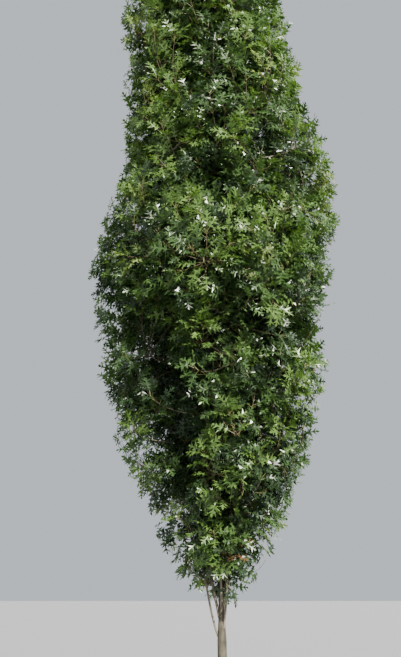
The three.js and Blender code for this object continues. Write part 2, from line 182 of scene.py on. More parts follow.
# Hollows between the leafy clumps: how many clumps go round, their height, and how deep the hollows are.
CLUMPS_AROUND = 13
CLUMP_HEIGHT = 0.34
HOLLOW_DEPTH = 0.22
HOLLOW_SEED = 37393
HOLLOW_FROM = 0.42  # the noise at which a hollow starts, and how much more makes it fully deep
HOLLOW_RANGE = 0.42
# Larger hollows in the front, each by azimuth in degrees, height, half-angle, half-height and depth.
FRONT_HOLLOWS = [
    (239, 2.58, 0.46, 0.50, 0.36),  # a wide one low on the left
    (270, 4.25, 0.18, 0.60, 0.30),  # a slim upright one high in the middle
    (279, 1.95, 0.25, 0.16, 0.20),  # a small one over the foot of the crown
]
UNEVEN_ENDS = 0.55  # how unevenly deep the shoots of a layer end, as a share of how far they end short
UNEVEN_MIDDLE = 0.8  # 1 would leave their mean as it is, less ends them further in
POKING_SHARE = 0.18  # share of the outer shoots that stand out of their clump
POKING_BACK = 0.5  # how far these end short, as a share of the others
DEEPEST_SHARE = 0.85  # no shoot ends further in than this share of the reach
ROOM_SHARE = 0.9  # a layer has no shoots where it would end further in than this share of the reach
SLIMMEST = 0.1  # least distance from the leader that the spacing is reckoned at

LEAVES_AT_TIP = 10  # leaves in the rosette at a shoot's tip
LEAVES_BELOW = 7  # leaves along the shoot below it
FEWEST_LEAVES = 2  # a shoot whose rosette would keep fewer is left out
LEAF_LENGTH = 0.108
LEAF_SIZES = (0.76, 0.42)  # the smallest as a share of that, and how much the largest adds
PETIOLE_LENGTH = 0.034
PETIOLE_SIZES = (0.7, 0.6)
PETIOLE_RADIUS = 0.001
PETIOLE_INTO = 0.06  # how far the stalk runs under the blade, as a share of the leaf's length
# How far behind the tip leaves are rooted, and from one to the next: in the rosette and below it.
ROSETTE_BACK = (0.003, 0.0022)
BELOW_BACK = (0.02, 0.02)
BACK_SIZES = (0.8, 0.4)  # the least that these vary to, and how much the most adds
MOST_BACK = 0.92  # no leaf is rooted further back than this share of the shoot's length
# Angle from the shoot in degrees: of the rosette's first leaf, from one to the next, and below it.
ROSETTE_OPEN = (18, 5)
BELOW_OPEN = 54
UNEVEN_ANGLE = 24
# By height: how far the leaves hang, or rise where it is less than 0.
HANGING = [(1.3, 0.75), (2.4, 0.22), (5.5, -0.2)]
UNEVEN_HANGING = 0.5
TO_LIGHT = (0.75, 0.65)  # how far a leaf's upper side turns outwards, and upwards
UNEVEN_SIDE = 1.5
UNEVEN_WAY = 0.2
FLATTER = 0.25  # how far a leaf is drawn into its upper side's plane
LOBE_LIFT = 0.16  # how unevenly the lobes' points stand up and down, as a share of the leaf's length
LIFT_FROM_RIB = 0.2  # how far from the midrib they do so fully
LOBE_CURL = 2.2
FOLD_NARROWS = 0.25
BLADE_WIDEST = (0.58, 0.4)  # about where a blade is widest, and how far that is from the midrib
OUTER_LIMIT = 1.0  # leaf tips stay inside this share of the outline's reach
OPEN_FOOT = (1.50, 0.14)  # below this height few leaves hang in front of the limbs, this far to each side
FRONT_FROM = 0.02  # what lies in front of the limbs: less than this behind the leader
FOOT_LEAVES = 0.1  # share of the leaves there that stay

# Leaf kinds: name, base colour, share of the sprays where the crown is darkest, and where it is palest, these
# ends being painted shade and painted light by height, with young growth at the top.
LEAF_KINDS = [
    ("deep", (0.024, 0.049, 0.018), 0.20, 0.08),
    ("mid", (0.047, 0.093, 0.027), 0.42, 0.27),
    ("fresh", (0.089, 0.159, 0.038), 0.32, 0.47),
    ("pale", (0.165, 0.232, 0.068), 0.06, 0.18),
    ("russet", (0.125, 0.066, 0.032), 0.0, 0.0),
]
# By height: how far the shares move from the first ones to the second: painted light at the foot, where sun
# reaches the lowest leaves, and towards the top, which also has young growth; darkest around 2.3 m, as painted
# shade low in the crown.
PAINTED_LIGHT_AND_YOUTH_BY_HEIGHT = [(1.3, 0.4), (1.7, 0.1), (2.3, 0.0), (4.5, 0.8), (6.5, 1.1)]
INNER_PAINTED_SHADE = 0.6  # how far the choice of kind moves to the deep one, for each layer inwards: painted shade inside the crown, besides the darker green of shade leaves
DARKEST_LAYER = 2  # from this layer inwards it moves no further
HOLLOW_PAINTED_SHADE = 2.0  # the same for each metre of a hollow's depth: painted shade in the hollows, besides the darker green of shade leaves
RUSSET_SHOOTS = 0.007  # share of the shoots whose lowest leaves have turned
TOOTHED_LAYERS = 2  # the layers, from outside, whose leaves have all their teeth
MOST_TRIANGLES = 190000  # in one piece of leaves

# Leaf surface.
LEAF_ROUGHNESS = 0.31
LEAF_GLOSS = 0.45  # specular level
LEAF_THROUGH = 0.16  # share of the light that passes through
THROUGH_TINT = (2.6, 2.9, 1.2)  # its colour, as shares of the leaf's
DRIFT_SCALE = 17.0  # the drift of the green over the crown, and how dark and pale it gets
DRIFT_DARK = (0.72, 0.76, 0.8)
DRIFT_PALE = (1.3, 1.24, 1.15)
STALK_COLOUR = (0.16, 0.17, 0.05)
STALK_ROUGHNESS = 0.5

# Barks: colours of ridges, flanks and fissures, streaks for each metre round, strength of the fine relief.
YOUNG_WOOD = ((0.21, 0.155, 0.10), (0.13, 0.09, 0.055), (0.06, 0.042, 0.028), 60.0, 0.3)
# The limb bark, which twigs and stems share, is partly its own pale grey and partly painted light: paler to
# stand for sun on limbs that the leaves above keep in shade.
LIMB_BARK_PAINTED_LIGHT = ((0.30, 0.26, 0.195), (0.185, 0.155, 0.11), (0.075, 0.06, 0.042), 45.0, 0.5)
TRUNK_BARK = ((0.168, 0.148, 0.101), (0.082, 0.071, 0.047), (0.022, 0.019, 0.013), 38.0, 0.9)
BARK_STRETCH = 0.16  # streaks for each metre up, as a share of those round
BLOTCH_SHARE = 0.35  # blotches for each metre, as a share of the streaks round
STREAK_PART = 0.55  # how much the streaks and the blotches count in the colour
BLOTCH_PART = 0.45
BARK_LEVELS = (0.35, 0.5, 0.68)  # where fissures, flanks and ridges take their colours
BARK_ROUGHNESS = 0.86
BARK_RELIEF = 0.002  # depth of the fine relief

# Studio: floor, surroundings, two suns with strength, width in degrees, colour and the way their light goes.
FLOOR_COLOUR = (0.225, 0.23, 0.235)
FLOOR_ROUGHNESS = 0.9
FLOOR_HALF = 40  # half the floor's side
FLOOR_BELOW = 0.001  # how far it lies under the foot of the trunk
ROOM_COLOUR = (0.84, 0.90, 0.96)
ROOM_STRENGTH = 0.74
SUNS = [
    ("key", 13.0, 2.5, (1.0, 0.96, 0.88), (-0.60, 0.78, -0.86)),
    ("fill", 2.6, 60, (0.9, 0.95, 1.0), (-0.30, -0.85, -0.60)),
]
CAMERA_PLACE = (-0.15, -6.5, 1.55)
CAMERA_TILT = 14  # degrees above the level
PICTURE_HEIGHT = 657  # in pixels
FOCAL_PIXELS = 956  # the lens's focal length in pixels of the picture
SENSOR = 36  # the longer side of the sensor in millimetres
FAR_CLIP = 200


def chance(a, b, c=0):
    """A repeatable number from 0 to 1 for numbers a, b and c, which may be arrays and tell draws apart."""
    wave = np.sin(np.asarray(a) * 12.9898 + np.asarray(b) * 78.233 + np.asarray(c) * 37.719) * 43758.5453
    return wave - np.floor(wave)


def read(rows, at, column):
    """Reads a column of rows sorted by their first number, easing from row to row."""
    levels, values = rows[:, 0], rows[:, column]
    k = np.clip(np.searchsorted(levels, at, side="right") - 1, 0, len(levels) - 2)
    part = np.clip((at - levels[k]) / (levels[k + 1] - levels[k]), 0, 1)
    eased = (1 - np.cos(np.pi * part)) / 2
    return values[k] + (values[k + 1] - values[k]) * (part + eased) / 2


def leader_at(z):
    """The leader's middle at a height, or at many."""
    z = np.asarray(z, dtype=float)
    x = -LEADER_LEAN * (np.maximum(z, 0) / CROWN_TOP) ** LEAN_POWER
    return np.stack([x, LEADER_SWAY * np.sin(z / SWAY_HEIGHT), z], axis=-1)


def reach(z, azimuth):
    """The reach of the crown's leaf tips from the leader, at a height and an azimuth."""
    left, right = read(OUTLINE, z, 1), read(OUTLINE, z, 2)
    even = left + (right - left) * (1 + np.cos(azimuth)) / 2
    wave = 1 + np.sin(3 * azimuth + np.asarray(z) / WAVE_HEIGHT)
    return even * (1 - WAVE_SHARE * np.sin(azimuth) ** 2 * wave)


def polar(z, azimuth, distance):
    """Points at a height, an azimuth and a distance from the leader, or at many."""
    x, y = np.cos(azimuth) * distance, np.sin(azimuth) * distance
    return leader_at(z) + np.stack([x, y, np.zeros_like(x)], axis=-1)


def wrapped(angle):
    """Angles brought to between minus and plus half a turn."""
    return (angle + np.pi) % (2 * np.pi) - np.pi


def share(points):
    """Distance from the leader as a share of the crown's reach there: 1 on the outline."""
    axis = leader_at(points[..., 2])
    dx, dy = points[..., 0] - axis[..., 0], points[..., 1] - axis[..., 1]
    value = np.hypot(dx, dy) / reach(points[..., 2], np.arctan2(dy, dx))
    outside = (points[..., 2] < OUTLINE[0, 0]) | (points[..., 2] > CROWN_TOP)
    return np.where(outside, np.inf, value)


def unit(v):
    """Vectors brought to length 1."""
    return v / np.maximum(np.linalg.norm(v, axis=-1, keepdims=True), 1e-12)


def across(direction):
    """Two unit vectors square to each direction and to each other."""
    off_x = np.abs(direction[..., :1]) < 0.8
    helper = np.where(off_x, np.array([1.0, 0, 0]), np.array([0, 1.0, 0]))
    u = unit(helper - direction * np.sum(helper * direction, axis=-1, keepdims=True))
    return u, np.cross(direction, u)


def opened(axis, angle, turn):
    """Directions that open from axes by angles, turned round them."""
    u, v = across(axis)
    angle, turn = np.asarray(angle)[..., None], np.asarray(turn)[..., None]
    side = u * np.cos(turn) + v * np.sin(turn)
    return axis * np.cos(angle) + side * np.sin(angle)


def outwards(points):
    """Level unit vectors from the leader to points."""
    return unit((points - leader_at(points[..., 2])) * np.array([1, 1, 0]))


def place_masses():
    """The places of all masses, from the lowest tier to the top one."""
    masses = []
    for t, (middle, count, turn, fork, base, tip, bow) in enumerate(TIERS):
        for n in range(count):
            azimuth = math.radians(turn + (360 / count) * (n + UNEVEN_TURN * (chance(t, n) - 0.5)))
            z = middle + UNEVEN * (1 if n % 2 else -1) * (0.5 + 0.5 * chance(t, n, 1))
            far = reach(z, azimuth)
            masses.append({
                "name": f"{t + 1}_{n + 1}",
                "seed": t * 10 + n + 1,
                "azimuth": azimuth,
                "distance": MIDDLE_SHARE * far,
                "middle": polar(z, azimuth, MIDDLE_SHARE * far),
                "fork": fork + FORK_STEP * n,
                "base": base,
                "out": tip * MIDDLE_SHARE * far,
                "bow": bow,
            })
    masses.append({"name": "top", "azimuth": 0.0, "distance": 0.0, "middle": leader_at(TOP_MIDDLE)})
    return masses


def cell_space(points, mass, masses):
    """How far points lie inside a mass's cell."""
    least = np.full(points.shape[:-1], np.inf)
    for other in masses:
        if other is mass:
            continue
        normal = other["middle"] - mass["middle"]
        halfway = mass["middle"] + normal / 2
        normal = unit(normal * np.array([1, 1, CELL_FLAT ** 2]))
        least = np.minimum(least, (halfway - points) @ normal)
    return least


def nearest_mass(points, masses):
    """The number of the mass whose cell each point lies in."""
    middles = np.array([mass["middle"] for mass in masses])
    flat = np.array([1, 1, CELL_FLAT])
    gaps = np.linalg.norm((points[:, None] - middles[None]) * flat, axis=-1)
    return np.argmin(gaps, axis=1)


def bough_path(mass, masses):
    """A bough's points, from the leader's line out to its tip."""
    tip = mass["middle"][2] - TIP_BELOW
    while cell_space(polar(tip, mass["azimuth"], mass["out"]), mass, masses) < TIP_INSIDE:
        tip += TIP_STEP
    s = np.linspace(0, 1, BOUGH_STEPS + 1)
    z = mass["fork"] + (tip - mass["fork"]) * s
    azimuth = mass["azimuth"] + BOUGH_DRIFT * (chance(mass["seed"], 5) - 0.5) * np.sin(np.pi * s)
    return polar(z, azimuth, mass["out"] * s ** mass["bow"])


def curve(start, bend, end, steps):
    """Points of quadratic curves, for one or many starts."""
    s = np.linspace(0, 1, steps + 1)[:, None]
    start, bend, end = (np.asarray(p)[..., None, :] for p in (start, bend, end))
    return start * (1 - s) ** 2 + bend * 2 * s * (1 - s) + end * s ** 2


def stem_path(mass, tip, direction):
    """A stem runs on from its bough's tip, or from the trunk's, towards the top of its cell."""
    end = polar(mass["middle"][2] + STEM_ABOVE, mass["azimuth"], STEM_SPREAD * mass["distance"])
    bend = tip + direction * np.linalg.norm(end - tip) * STEM_BEND
    return curve(tip, bend, end, STEM_STEPS)


def smooth_noise(u, v, around, seed):
    """Smooth noise from 0 to 1 over u, which repeats after a number of cells, and v."""
    iu, iv = np.floor(u), np.floor(v)
    fu, fv = u - iu, v - iv
    fu, fv = fu * fu * (3 - 2 * fu), fv * fv * (3 - 2 * fv)
    near = [chance((iu + i) % around, iv + j, seed) for j in (0, 1) for i in (0, 1)]
    below = near[0] + (near[1] - near[0]) * fu
    above = near[2] + (near[3] - near[2]) * fu
    return below * (1 - fv) + above * fv


def hollow(z, azimuth):
    """How far the leaves stand inside the outline: the hollows between one clump and the next."""
    turn = (azimuth / (2 * np.pi)) % 1.0
    level = np.asarray(z) / CLUMP_HEIGHT
    noise = smooth_noise(turn * CLUMPS_AROUND, level, CLUMPS_AROUND, HOLLOW_SEED)
    depth = HOLLOW_DEPTH * np.clip((noise - HOLLOW_FROM) / HOLLOW_RANGE, 0, 1)
    for middle, height, wide, tall, deep in FRONT_HOLLOWS:
        gap = wrapped(azimuth - math.radians(middle))
        depth = depth + deep * np.exp(-(gap / wide) ** 2 - ((z - height) / tall) ** 2)
    return depth


def spiral_ends(spacing, short, first_turn, outer):
    """Where twigs end: turn by turn from the crown's foot to its top, evenly spread short of the outline."""
    ends = []
    z, k = OUTLINE[0, 0] + spacing / 4, 0
    while z < CROWN_TOP:
        azimuth = math.radians(GOLDEN_ANGLE * k + first_turn)
        far = float(reach(z, azimuth))
        back = short * (1 + UNEVEN_ENDS * (2 * chance(k, 3, first_turn) - UNEVEN_MIDDLE))
        if outer and chance(k, 4, first_turn) < POKING_SHARE:
            back = back * POKING_BACK
        else:
            back = back + float(hollow(z, azimuth))
        back = min(back, DEEPEST_SHARE * far)
        if short < ROOM_SHARE * far:
            ends.append(polar(z, azimuth, far - back))
        z += spacing ** 2 / (2 * math.pi * max(far - back / 2, SLIMMEST))
        k += 1
    return np.array(ends)


def ring_faces(rings, sides):
    """Triangles between rings of points that follow one another."""
    k = np.arange(sides)
    after = (k + 1) % sides
    rows = (np.arange(rings - 1) * sides)[:, None]
    corners = [rows + k, rows + after, rows + after + sides, rows + k + sides]
    quads = np.stack(corners, axis=-1).reshape(-1, 4)
    return np.concatenate([quads[:, [0, 1, 2]], quads[:, [0, 2, 3]]])


def tubes(points, radii, sides, closed=True):
    """Vertices and faces of many tubes. points: (tubes, rings, 3), radii: (tubes, rings)."""
    count, rings = radii.shape
    along = np.gradient(points, axis=1)
    u, v = across(unit(along))
    angle = np.arange(sides) / sides * 2 * np.pi
    ray = u[:, :, None] * np.cos(angle)[:, None] + v[:, :, None] * np.sin(angle)[:, None]
    verts = points[:, :, None] + ray * radii[:, :, None, None]
    tris = ring_faces(rings, sides)
    if closed:
        last = (rings - 1) * sides
        caps = [cap for i in range(1, sides - 1) for cap in ((0, i + 1, i), (last, last + i, last + i + 1))]
        tris = np.concatenate([tris, np.array(caps)])
    faces = tris[None] + (np.arange(count) * rings * sides)[:, None, None]
    return verts.reshape(-1, 3), faces.reshape(-1, 3)


def tapering(points, radius, tip_radius, sides, closed=True):
    """Tubes of equal steps that all taper alike."""
    radii = np.linspace(radius, tip_radius, points.shape[1])
    return tubes(points, np.tile(radii, (len(points), 1)), sides, closed)


def limbs(paths, radii, sides):
    """Vertices and faces of limbs, each with its own points and radii."""
    verts, faces, start = [], [], 0
    for path, radius in zip(paths, radii):
        v, f = tubes(path[None], radius[None], sides)
        verts.append(v)
        faces.append(f + start)
        start += len(v)
    return np.concatenate(verts), np.concatenate(faces)


def ribbons(start, end, facing, half_width):
    """Vertices and faces of flat stalks, each two triangles, with their upper sides to facing."""
    aside = unit(np.cross(facing, end - start)) * half_width
    verts = np.stack([start - aside, start + aside, end + aside, end - aside], axis=1)
    faces = np.array([(0, 1, 2), (0, 2, 3)])[None] + (np.arange(len(start)) * 4)[:, None, None]
    return verts.reshape(-1, 3), faces.reshape(-1, 3)


def mesh_object(name, verts, faces, material, smooth=False):
    """An object of triangles from arrays."""
    mesh = bpy.data.meshes.new(name)
    mesh.vertices.add(len(verts))
    mesh.vertices.foreach_set("co", np.ascontiguousarray(verts, dtype=np.float32).ravel())
    mesh.loops.add(len(faces) * 3)
    mesh.loops.foreach_set("vertex_index", np.ascontiguousarray(faces, dtype=np.int32).ravel())
    mesh.polygons.add(len(faces))
    mesh.polygons.foreach_set("loop_start", np.arange(0, len(faces) * 3, 3, dtype=np.int32))
    mesh.polygons.foreach_set("use_smooth", np.full(len(faces), smooth))
    mesh.update(calc_edges=True)
    mesh.validate()
    mesh.materials.append(material)
    piece = bpy.data.objects.new(name, mesh)
    bpy.context.scene.collection.objects.link(piece)
    return piece


# Materials

def new_material(name):
    """A material with nodes."""
    material = bpy.data.materials.new(name)
    material.use_nodes = True
    return material


def shader_of(material):
    """The shader that a new material starts with."""
    return material.node_tree.nodes["Principled BSDF"]


def plain_material(name, colour, roughness):
    """A material of one colour."""
    material = new_material(name)
    shader_of(material).inputs["Base Color"].default_value = (*colour, 1)
    shader_of(material).inputs["Roughness"].default_value = roughness
    return material


def add(material, kind, **values):
    """A new node, with the values of its named sockets."""
    node = material.node_tree.nodes.new(kind)
    for key, value in values.items():
        node.inputs[key].default_value = value
    return node


def weigh(material, factor, addend=None):
    """A node that multiplies by a factor, and adds what is linked to its third socket where that is asked."""
    node = material.node_tree.nodes.new("ShaderNodeMath")
    node.operation = "MULTIPLY" if addend is None else "MULTIPLY_ADD"
    node.inputs[1].default_value = factor
    if addend is not None:
        link(material, addend, node.inputs[2])
    return node


def colour_ramp(material, stops):
    """A node that turns a number into a colour, from stops of position and colour."""
    node = material.node_tree.nodes.new("ShaderNodeValToRGB")
    ends = [node.color_ramp.elements[0], node.color_ramp.elements[1]]
    for element, (position, colour) in zip(ends, (stops[0], stops[-1])):
        element.position = position
        element.color = (*colour, 1)
    for position, colour in stops[1:-1]:
        node.color_ramp.elements.new(position).color = (*colour, 1)
    return node


def link(material, source, target):
    """Joins an output of a node to an input of another."""
    material.node_tree.links.new(source, target)


def tinted(colour, shares):
    """A colour with each part multiplied."""
    return tuple(part * by for part, by in zip(colour, shares))


def bark_material(name, light, middle, dark, grain, bump):
    """Grey-tan bark: long streaks, paler blotches and dark fissures."""
    material = new_material(name)
    place = add(material, "ShaderNodeTexCoord").outputs["Object"]
    stretch = add(material, "ShaderNodeMapping", Scale=(grain, grain, grain * BARK_STRETCH))
    link(material, place, stretch.inputs["Vector"])
    streaks = add(material, "ShaderNodeTexNoise", Scale=1.0, Detail=6.0, Roughness=0.62)
    link(material, stretch.outputs["Vector"], streaks.inputs["Vector"])
    blotches = add(material, "ShaderNodeTexNoise", Scale=grain * BLOTCH_SHARE, Detail=3.0)
    link(material, place, blotches.inputs["Vector"])
    streak_part = weigh(material, STREAK_PART)
    link(material, streaks.outputs["Fac"], streak_part.inputs[0])
    both = weigh(material, BLOTCH_PART, addend=streak_part.outputs[0])
    link(material, blotches.outputs["Fac"], both.inputs[0])
    ramp = colour_ramp(material, list(zip(BARK_LEVELS, (dark, middle, light))))
    link(material, both.outputs[0], ramp.inputs["Fac"])
    shader = shader_of(material)
    link(material, ramp.outputs["Color"], shader.inputs["Base Color"])
    shader.inputs["Roughness"].default_value = BARK_ROUGHNESS
    relief = add(material, "ShaderNodeBump", Strength=bump, Distance=BARK_RELIEF)
    link(material, streaks.outputs["Fac"], relief.inputs["Height"])
    link(material, relief.outputs["Normal"], shader.inputs["Normal"])
    return material


def leaf_material(name, colour):
    """A glossy leaf whose green shifts a little over the crown, and that lets some light through."""
    material = new_material(name)
    place = add(material, "ShaderNodeTexCoord").outputs["Object"]
    drift = add(material, "ShaderNodeTexNoise", Scale=DRIFT_SCALE, Detail=2.0)
    link(material, place, drift.inputs["Vector"])
    ramp = colour_ramp(material, [(0.3, tinted(colour, DRIFT_DARK)), (0.7, tinted(colour, DRIFT_PALE))])
    link(material, drift.outputs["Fac"], ramp.inputs["Fac"])
    shader = shader_of(material)
    link(material, ramp.outputs["Color"], shader.inputs["Base Color"])
    shader.inputs["Roughness"].default_value = LEAF_ROUGHNESS
    shader.inputs["Specular IOR Level"].default_value = LEAF_GLOSS
    through = add(material, "ShaderNodeBsdfTranslucent", Color=(*tinted(colour, THROUGH_TINT), 1))
    mixed = add(material, "ShaderNodeMixShader", Fac=LEAF_THROUGH)
    link(material, shader.outputs["BSDF"], mixed.inputs[1])
    link(material, through.outputs["BSDF"], mixed.inputs[2])
    output = material.node_tree.nodes["Material Output"]
    link(material, mixed.outputs["Shader"], output.inputs["Surface"])
    return material


# Trunk

def bark_noise(turn, z, drift, around, tall, seed):
    """Noise round the trunk and up it, in cells, moved sideways by drift."""
    return smooth_noise((turn * around + drift) % around, z * tall, around, seed)


def trunk_mesh():
    """The trunk with bark relief: shallow fissures, a few old limb scars and the root flare."""
    top = TRUNK[-1, 0]
    close = np.linspace(0, CLOSE_BELOW, CLOSE_RINGS)
    z = np.concatenate([close, np.linspace(CLOSE_BELOW, top, UPPER_RINGS)[1:]])
    radius = np.interp(z, TRUNK[:, 0], TRUNK[:, 1])
    angle = np.arange(TRUNK_SIDES) / TRUNK_SIDES * 2 * np.pi
    zz, aa = np.meshgrid(z, angle, indexing="ij")
    turn = aa / (2 * np.pi)
    lobes = 1 + FLARE_DEPTH * np.exp(-zz / FLARE_HEIGHT) * np.cos(FLARE_LOBES * aa)
    drift = bark_noise(turn, zz, 0, *BARK_DRIFT) * DRIFT_CELLS
    ridge = bark_noise(turn, zz, drift, *BARK_RIDGES)
    fine = bark_noise(turn, zz, drift, *BARK_FINE)
    relief = (np.abs(ridge - 0.5) * 2) ** RIDGE_POWER * RIDGE_PART + fine * FINE_PART
    strength = np.interp(zz, *zip(*RELIEF_BY_HEIGHT))
    scars = np.zeros_like(zz)
    for k in range(SCARS):
        height = SCAR_FIRST + SCAR_STEP * k + SCAR_UNEVEN * chance(k, 71)
        gap = wrapped(aa - 2 * np.pi * chance(k, 72))
        spread = ((zz - height) / SCAR_TALL) ** 2 + (gap * radius[:, None] / SCAR_WIDE) ** 2
        scars += SCAR_RIM * np.exp(-spread) - SCAR_PIT * np.exp(-spread * PIT_CLOSER)
    surface = radius[:, None] * lobes - strength * (1 - relief) + scars
    surface = np.where(zz > SLENDER_ABOVE, np.minimum(surface, radius[:, None]), surface)
    verts = polar(zz, aa, surface).reshape(-1, 3)
    foot, tip = len(verts), len(verts) + 1
    verts = np.concatenate([verts, [leader_at(0.0), leader_at(top)]])
    k = np.arange(TRUNK_SIDES)
    after = (k + 1) % TRUNK_SIDES
    last = (len(z) - 1) * TRUNK_SIDES
    caps = [(foot, b, a) for a, b in zip(k, after)] + [(tip, last + a, last + b) for a, b in zip(k, after)]
    return verts, np.concatenate([ring_faces(len(z), TRUNK_SIDES), np.array(caps)])


# Growth

masses = place_masses()
bough_paths, bough_radii, stem_paths, stem_radii = [], [], [], []
for mass in masses:
    if mass["name"] == "top":
        path = leader_at(np.linspace(LAST_STRETCH, TRUNK[-1, 0], 4))
        tip_radius = TRUNK[-1, 1]
    else:
        path = bough_path(mass, masses)
        radius = np.linspace(mass["base"], BOUGH_TIP_RADIUS, len(path))
        wobble = 1 + BOUGH_WOBBLE * (chance(np.arange(len(path)), mass["seed"]) - 0.5)
        bough_paths.append(path)
        bough_radii.append(radius * wobble)
        tip_radius = BOUGH_TIP_RADIUS
    stem = stem_path(mass, path[-1], unit(path[-1] - path[-2]))
    stem_paths.append(stem)
    stem_radii.append(np.linspace(tip_radius, STEM_TIP_RADIUS, len(stem)))
    mass["wood"] = stem[1:]


def root_for(end, places, rise, near):
    """The place among many that a twig to this end grows from best."""
    way = end - places
    length = np.linalg.norm(way, axis=1)
    steep = way[:, 2] / np.maximum(length, 1e-6)
    off_rise = RISE_COST * np.abs(steep - rise) * (length + RISE_LENGTH)
    cost = length + NEAR_COST * np.maximum(near - length, 0) + off_rise
    return int(np.argmin(cost))


def grown(ends, owner, rise, near, steps, bow):
    """Curved paths from places on the wood of each end's mass out to the ends."""
    paths = []
    for end, m in zip(ends, owner):
        places = masses[m]["wood"]
        start = places[root_for(end, places, rise, near)]
        length = np.linalg.norm(end - start)
        sag = np.array([0, 0, 1]) * bow * SAG_SHARE * length
        bend = (start + end) / 2 + outwards(end) * bow * length - sag
        paths.append(curve(start, bend, end, steps))
    return np.array(paths)


twig_ends = spiral_ends(TWIG_SPACING, TWIG_SHORT, 0, False)
twig_owner = nearest_mass(twig_ends, masses)
twig_paths = grown(twig_ends, twig_owner, TWIG_RISE, TWIG_NEAR, TWIG_STEPS, TWIG_BEND)
for path, m in zip(twig_paths, twig_owner):
    masses[m]["wood"] = np.concatenate([masses[m]["wood"], path[TWIG_BARE:]])

layers_of_ends = [
    spiral_ends(spacing, short, FIRST_TURN + LAYER_TURN * layer, layer == 0)
    for layer, (spacing, short) in enumerate(SHOOT_LAYERS)
]
shoot_layer = np.repeat(np.arange(len(layers_of_ends)), [len(ends) for ends in layers_of_ends])
shoot_ends = np.concatenate(layers_of_ends)
number = np.arange(len(shoot_ends))
off_even = np.stack([chance(number, 11, c) - 0.5 for c in range(3)], axis=-1)
shoot_ends = shoot_ends + SHOOT_UNEVEN * off_even
shoot_owner = nearest_mass(shoot_ends, masses)
shoot_paths = grown(shoot_ends, shoot_owner, SHOOT_RISE, SHOOT_NEAR, SHOOT_STEPS, SHOOT_BEND)


# Leaves

def leaf_shape(bend, fold, curl, lean, toothed=True):
    """One blade of unit length along +X, upper side to +Z: a narrow blade, three pairs of lobes, a tip."""
    rib = [(x, 0.0) for x in (0.0, 0.12, 0.25, 0.36, 0.52, 0.63, 0.76, 1.0)]
    half = [
        (0.30, 0.042), (0.66, 0.050),  # edge of the narrow blade, at the sinuses
        (0.17, 0.30), (0.30, 0.21),  # lowest lobe: tip and tooth
        (0.45, 0.33), (0.63, 0.49), (0.65, 0.25),  # middle lobe: tooth, tip and tooth
        (0.88, 0.32),  # upper lobe
        (0.91, 0.10),  # tooth of the end lobe
        (0.20, 0.12), (0.48, 0.19),  # inside the lobes, where the teeth part
    ]
    first = len(rib)
    edge_low, edge_high, low, low_tooth, back, middle, front, upper, end, in_low, in_middle = (
        range(first, first + len(half)))
    side = [
        (0, 3, edge_low), (3, 5, edge_low), (5, edge_high, edge_low), (5, 7, edge_high),
        (1, 2, low), (3, 4, middle), (5, 6, upper),
    ]
    if toothed:
        side += [(in_low, 2, low_tooth), (3, in_middle, back), (in_middle, 4, front), (6, 7, end)]
    flat = np.array(rib + half + [(x, -y) for x, y in half])
    mirrored = [tuple(i if i < first else i + len(half) for i in (a, c, b)) for a, b, c in side]
    x, y = flat[:, 0], flat[:, 1]
    z = fold * np.abs(y) - bend * x ** 2 - curl * y ** 2 * LOBE_CURL + lean * y * x
    lift = LOBE_LIFT * (chance(np.arange(len(flat)), 17, 40 * bend) - 0.5)
    z += lift * np.clip(np.abs(y) / LIFT_FROM_RIB, 0, 1)
    verts = np.stack([x, y * (1 - FOLD_NARROWS * fold), z], axis=-1)
    return verts, np.array(side + mirrored)


LEAF_SHAPES = [
    leaf_shape(0.10, 0.30, 0.35, 0.10),
    leaf_shape(0.30, 0.20, 0.20, -0.15),
    leaf_shape(0.20, 0.42, 0.55, 0.05),
    leaf_shape(-0.06, 0.34, 0.30, 0.18),
    leaf_shape(0.42, 0.26, 0.45, -0.05),
    leaf_shape(0.16, 0.12, 0.10, 0.22),
]
OUTER_SHAPES = len(LEAF_SHAPES)
LEAF_SHAPES += [
    leaf_shape(0.14, 0.24, 0.30, 0.10, toothed=False),
    leaf_shape(0.34, 0.36, 0.20, -0.12, toothed=False),
]


